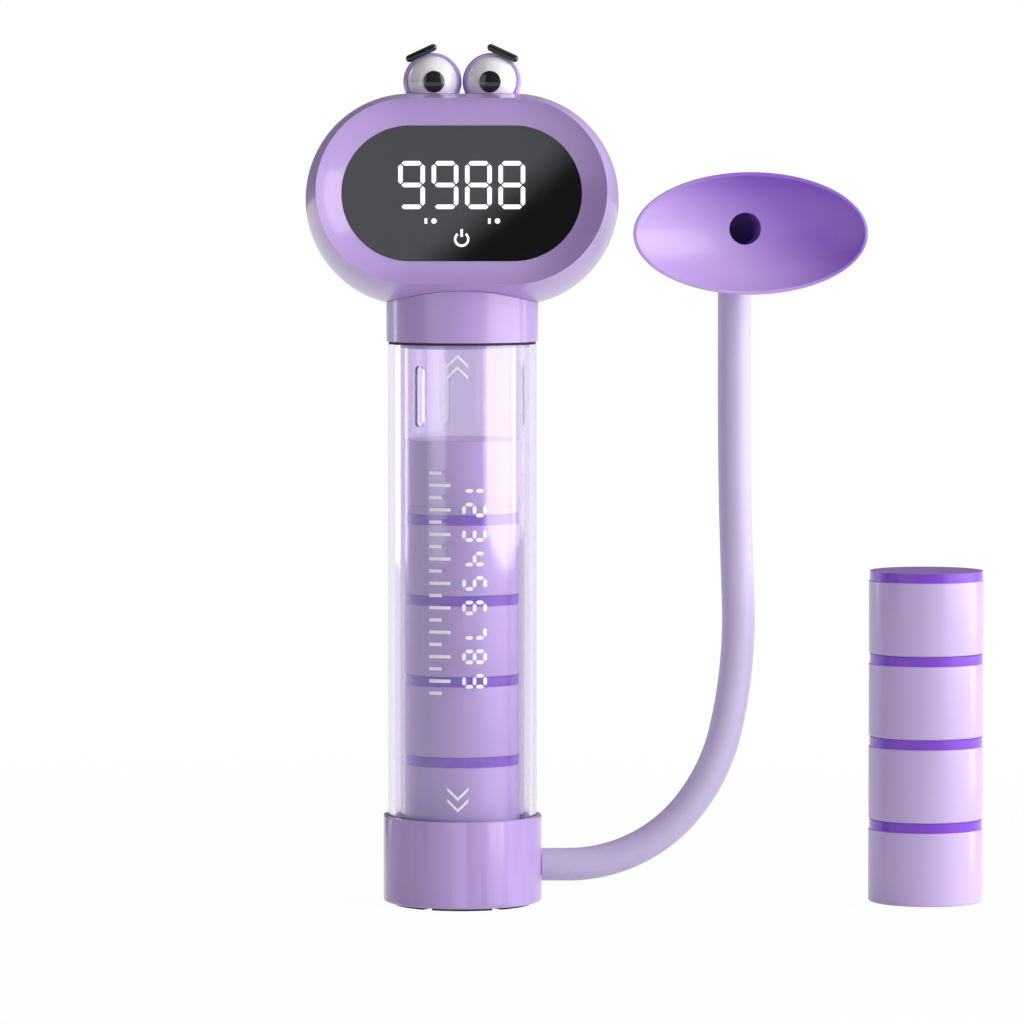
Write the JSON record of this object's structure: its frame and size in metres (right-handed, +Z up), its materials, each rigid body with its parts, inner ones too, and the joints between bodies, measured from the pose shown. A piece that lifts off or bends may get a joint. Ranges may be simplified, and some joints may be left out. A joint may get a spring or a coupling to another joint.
{
  "type": "inspiratory muscle trainer",
  "caption": "Breathing trainer: a clear tube with weights that the breath lifts, a counter head with googly eyes, a hose with an oval mouthpiece, and a spare set of weights.",
  "frame": {"origin": "on the surface the trainer stands on, under the tube's axis", "axes": "+Z up the tube; -Y towards the user, the way the display and the mouthpiece face; +X to the side the hose leaves the base"},
  "size_m": [0.2037, 0.0603, 0.2579],
  "materials": {
    "purple_plastic": "satin moulded plastic",
    "pale_plastic": "satin moulded plastic",
    "deep_plastic": "glossy moulded plastic",
    "steel": "turned or drawn steel",
    "cell_foil": "foil pouch",
    "black_rubber": "matt rubber",
    "white_rubber": "matt silicone",
    "filter_felt": "felt pad",
    "clear_plastic": "polished clear plastic",
    "white_print": "screen print",
    "board_green": "coated board",
    "black_plastic": "glossy black plastic",
    "white_plastic": "glossy white plastic",
    "smoked_window": "polished smoked plastic",
    "lit_white": "lit segments seen through the window",
    "hose_silicone": "satin silicone",
    "mouth_silicone": "satin silicone"
  },
  "bodies": {
    "base": {"base_cup": "purple_plastic", "base_plate": "pale_plastic", "foot_sole": "black_rubber", "base_screws": "steel", "tube_seat": "pale_plastic", "seat_o_ring": "black_rubber", "landing_ring": "white_rubber", "inlet_filter": "filter_felt", "inner_tube": "clear_plastic", "tube_gasket": "black_rubber", "hose_spigot": "pale_plastic"},
    "tube": {"outer_tube": "clear_plastic", "tube_scale": "white_print", "flow_arrows": "white_print", "neck_seal": "black_rubber", "neck_collar": "purple_plastic", "top_bumper": "white_rubber", "sensor_board": "board_green", "optical_sensors": "black_plastic", "head_front_shell": "purple_plastic", "head_rear_shell": "purple_plastic", "display_window": "smoked_window", "digit_segments": "lit_white", "indicator_marks": "lit_white", "display_board": "board_green", "digit_module": "white_plastic", "touch_spring": "steel", "main_board": "board_green", "battery_cell": "cell_foil", "usb_socket": "steel", "buzzer": "black_plastic", "ribbon_cable": "white_plastic", "head_screws": "steel", "eye_shells": "purple_plastic", "eyeballs": "white_plastic", "pupils": "black_plastic", "brows": "black_plastic"},
    "weight_stack": {"piston_head": "pale_plastic", "piston_seal": "white_rubber", "tube_weight_1": "pale_plastic", "tube_weight_2": "pale_plastic", "tube_weight_3": "pale_plastic", "tube_weight_4": "pale_plastic", "tube_discs": "deep_plastic", "tube_slugs": "steel"},
    "hose": {"hose": "hose_silicone"},
    "mouthpiece": {"mouth_elbow": "pale_plastic", "mouth_funnel": "mouth_silicone"},
    "spare_1": {"spare_weight_1": "pale_plastic", "spare_disc_1": "deep_plastic", "spare_slug_1": "steel"},
    "spare_2": {"spare_weight_2": "pale_plastic", "spare_disc_2": "deep_plastic", "spare_slug_2": "steel"},
    "spare_3": {"spare_weight_3": "pale_plastic", "spare_disc_3": "deep_plastic", "spare_slug_3": "steel"},
    "spare_4": {"spare_weight_4": "pale_plastic", "spare_disc_4": "deep_plastic", "spare_slug_4": "steel"}
  },
  "joints": [
    {"name": "weight_stack_lift", "type": "slide", "parent": "base", "child": "weight_stack", "axis": [0, 0, 1], "range_m": [0, 0.0265]},
    {"name": "tube_twist", "type": "hinge", "parent": "base", "child": "tube", "pos_m": [0, 0, 0.02], "axis": [0, 0, 1], "range_deg": [0, 30]},
    {"name": "hose_swivel", "type": "hinge", "parent": "base", "child": "hose", "pos_m": [0.02385, 0, 0.0117], "axis": [1, 0, 0], "range_deg": [-60, 60]},
    {"name": "mouthpiece_swivel", "type": "hinge", "parent": "hose", "child": "mouthpiece", "pos_m": [0.08148, 0, 0.18545], "axis": [0, 0, 1], "range_deg": [0, 150]},
    {"name": "spare_lift_1", "type": "slide", "parent": "base", "child": "spare_1", "axis": [0, 0, 1], "range_m": [0, 0.02]},
    {"name": "spare_lift_2", "type": "slide", "parent": "spare_1", "child": "spare_2", "axis": [0, 0, 1], "range_m": [0, 0.02]},
    {"name": "spare_lift_3", "type": "slide", "parent": "spare_2", "child": "spare_3", "axis": [0, 0, 1], "range_m": [0, 0.02]},
    {"name": "spare_lift_4", "type": "slide", "parent": "spare_3", "child": "spare_4", "axis": [0, 0, 1], "range_m": [0, 0.02]}
  ]
}
